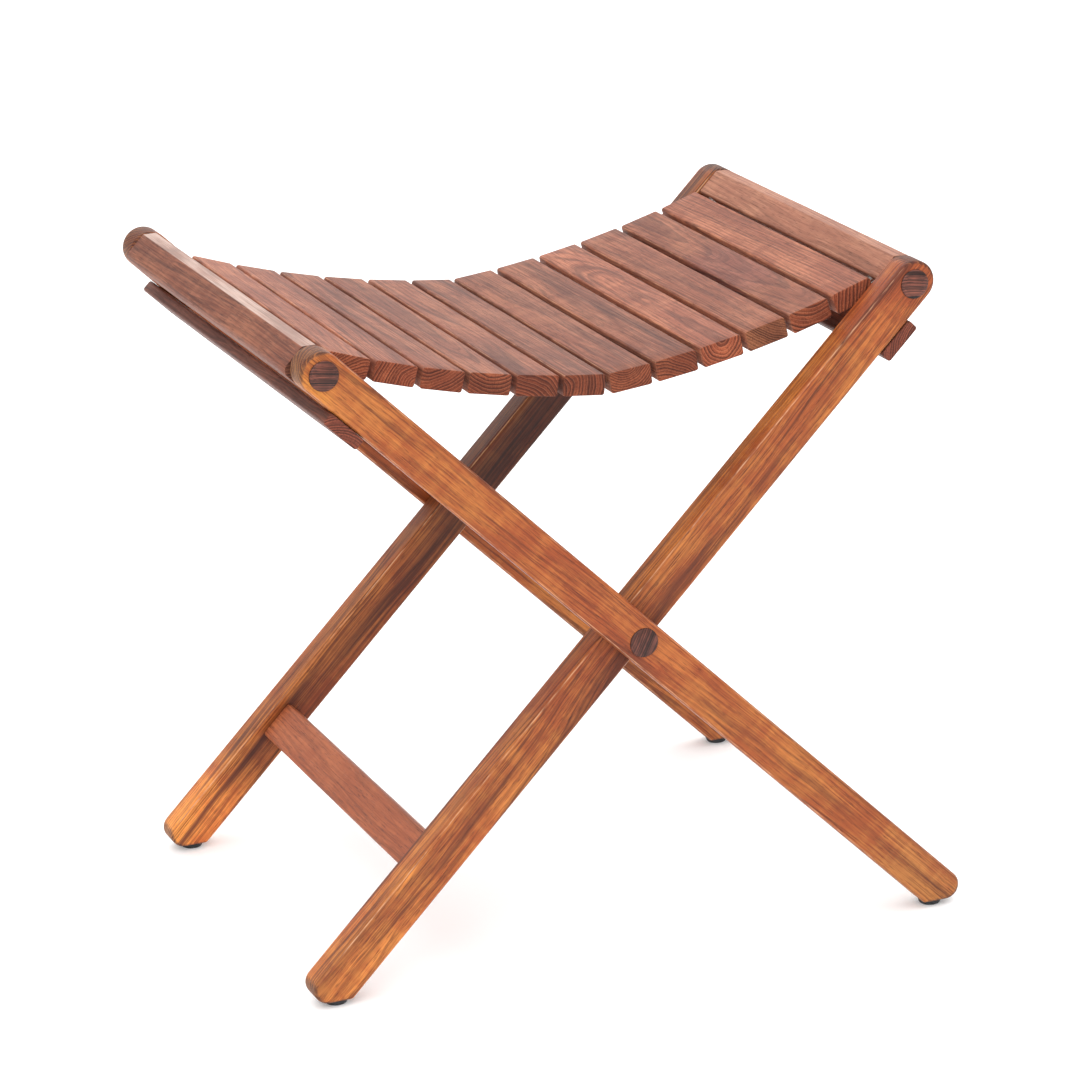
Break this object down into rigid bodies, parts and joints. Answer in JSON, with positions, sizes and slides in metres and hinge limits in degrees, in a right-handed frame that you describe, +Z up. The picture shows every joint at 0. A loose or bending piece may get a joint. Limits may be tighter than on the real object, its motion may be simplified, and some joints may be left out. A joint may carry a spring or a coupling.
{
  "type": "folding shower stool",
  "caption": "Folding teak shower stool: crossed legs pivot at mid height under a sling seat of wooden slats strung on two cords between top rails.",
  "frame": {"origin": "on the floor below the middle of the stool", "axes": "+Z up, X across the cross of the legs, Y along the seat slats; the outer frame's upper arm leans to -X"},
  "size_m": [0.4858, 0.4046, 0.4759],
  "materials": {
    "leg_teak": "oiled satin",
    "seat_teak": "oiled satin",
    "plug_wood": "dark oiled",
    "stainless_steel": "brushed",
    "black_rubber": "matte",
    "nylon_washer": "matte",
    "cord": "braided"
  },
  "bodies": {
    "outer_frame": {"outer_bar_screw_front": "stainless_steel", "outer_bar_screw_rear": "stainless_steel", "outer_cord_ferrule_front": "stainless_steel", "outer_cord_ferrule_rear": "stainless_steel", "outer_cross_bar": "seat_teak", "outer_foot_pad_front": "black_rubber", "outer_foot_pad_rear": "black_rubber", "outer_leg_front": "leg_teak", "outer_leg_rear": "leg_teak", "outer_rail_plug_front": "plug_wood", "outer_rail_plug_rear": "plug_wood", "outer_rail_screw_front": "stainless_steel", "outer_rail_screw_rear": "stainless_steel", "outer_top_rail": "seat_teak", "pivot_bolt_front": "stainless_steel", "pivot_bolt_rear": "stainless_steel", "pivot_plug_front": "plug_wood", "pivot_plug_rear": "plug_wood", "pivot_washer_front": "nylon_washer", "pivot_washer_rear": "nylon_washer", "seat_cord_front": "cord", "seat_cord_rear": "cord"},
    "inner_frame": {"inner_bar_screw_front": "stainless_steel", "inner_bar_screw_rear": "stainless_steel", "inner_cord_ferrule_front": "stainless_steel", "inner_cord_ferrule_rear": "stainless_steel", "inner_cross_bar": "seat_teak", "inner_foot_pad_front": "black_rubber", "inner_foot_pad_rear": "black_rubber", "inner_leg_front": "leg_teak", "inner_leg_rear": "leg_teak", "inner_rail_plug_front": "plug_wood", "inner_rail_plug_rear": "plug_wood", "inner_rail_screw_front": "stainless_steel", "inner_rail_screw_rear": "stainless_steel", "inner_stretcher": "seat_teak", "inner_top_rail": "seat_teak", "pivot_nut_front": "stainless_steel", "pivot_nut_rear": "stainless_steel", "stretcher_dowel_front": "seat_teak", "stretcher_dowel_rear": "seat_teak"},
    "slat_01": {"slat_01": "seat_teak"},
    "slat_02": {"slat_02": "seat_teak"},
    "slat_03": {"slat_03": "seat_teak"},
    "slat_04": {"slat_04": "seat_teak"},
    "slat_05": {"slat_05": "seat_teak"},
    "slat_06": {"slat_06": "seat_teak"},
    "slat_07": {"slat_07": "seat_teak"},
    "slat_08": {"slat_08": "seat_teak"},
    "slat_09": {"slat_09": "seat_teak"},
    "slat_10": {"slat_10": "seat_teak"},
    "slat_11": {"slat_11": "seat_teak"},
    "slat_12": {"slat_12": "seat_teak"}
  },
  "joints": [
    {"name": "fold", "type": "hinge", "parent": "outer_frame", "child": "inner_frame", "pos_m": [0, 0, 0.239], "axis": [0, -1, 0], "range_deg": [0, 52], "deforming": ["seat_cord_front", "seat_cord_rear"]},
    {"name": "slat_01_swing", "type": "hinge", "parent": "outer_frame", "child": "slat_01", "pos_m": [-0.19515, 0, 0.45349], "axis": [0, 1, 0], "range_deg": [0, 55.74]},
    {"name": "slat_02_swing", "type": "hinge", "parent": "outer_frame", "child": "slat_02", "pos_m": [-0.19403, 0, 0.45733], "axis": [0, 1, 0], "range_deg": [0, 58.28]},
    {"name": "slat_03_swing", "type": "hinge", "parent": "outer_frame", "child": "slat_03", "pos_m": [-0.21399, 0, 0.47894], "axis": [0, 1, 0], "range_deg": [0, 42.01]},
    {"name": "slat_04_swing", "type": "hinge", "parent": "outer_frame", "child": "slat_04", "pos_m": [-0.33736, 0, 0.57867], "axis": [0, 1, 0], "range_deg": [0, 18.81]},
    {"name": "slat_05_swing", "type": "hinge", "parent": "outer_frame", "child": "slat_05", "pos_m": [0.7465, 0, -0.24343], "axis": [0, 1, 0], "range_deg": [-5.5, 0]},
    {"name": "slat_06_swing", "type": "hinge", "parent": "outer_frame", "child": "slat_06", "pos_m": [0.07349, 0, 0.28493], "axis": [0, 1, 0], "range_deg": [-32.85, 0]},
    {"name": "slat_07_swing", "type": "hinge", "parent": "inner_frame", "child": "slat_07", "pos_m": [-0.07349, 0, 0.28493], "axis": [0, -1, 0], "range_deg": [-32.85, 0]},
    {"name": "slat_08_swing", "type": "hinge", "parent": "inner_frame", "child": "slat_08", "pos_m": [-0.7465, 0, -0.24343], "axis": [0, -1, 0], "range_deg": [-5.5, 0]},
    {"name": "slat_09_swing", "type": "hinge", "parent": "inner_frame", "child": "slat_09", "pos_m": [0.33736, 0, 0.57867], "axis": [0, -1, 0], "range_deg": [0, 18.81]},
    {"name": "slat_10_swing", "type": "hinge", "parent": "inner_frame", "child": "slat_10", "pos_m": [0.21399, 0, 0.47894], "axis": [0, -1, 0], "range_deg": [0, 42.01]},
    {"name": "slat_11_swing", "type": "hinge", "parent": "inner_frame", "child": "slat_11", "pos_m": [0.19403, 0, 0.45733], "axis": [0, -1, 0], "range_deg": [0, 58.28]},
    {"name": "slat_12_swing", "type": "hinge", "parent": "inner_frame", "child": "slat_12", "pos_m": [0.19515, 0, 0.45349], "axis": [0, -1, 0], "range_deg": [0, 55.74]}
  ],
  "couplings": [
    {"joint": "slat_01_swing", "follows": "fold", "ratio": 1.0717},
    {"joint": "slat_02_swing", "follows": "fold", "ratio": 1.1206},
    {"joint": "slat_03_swing", "follows": "fold", "ratio": 0.8076},
    {"joint": "slat_04_swing", "follows": "fold", "ratio": 0.3616},
    {"joint": "slat_05_swing", "follows": "fold", "ratio": -0.1055},
    {"joint": "slat_06_swing", "follows": "fold", "ratio": -0.6316},
    {"joint": "slat_07_swing", "follows": "fold", "ratio": -0.6316},
    {"joint": "slat_08_swing", "follows": "fold", "ratio": -0.1055},
    {"joint": "slat_09_swing", "follows": "fold", "ratio": 0.3616},
    {"joint": "slat_10_swing", "follows": "fold", "ratio": 0.8076},
    {"joint": "slat_11_swing", "follows": "fold", "ratio": 1.1206},
    {"joint": "slat_12_swing", "follows": "fold", "ratio": 1.0717}
  ]
}
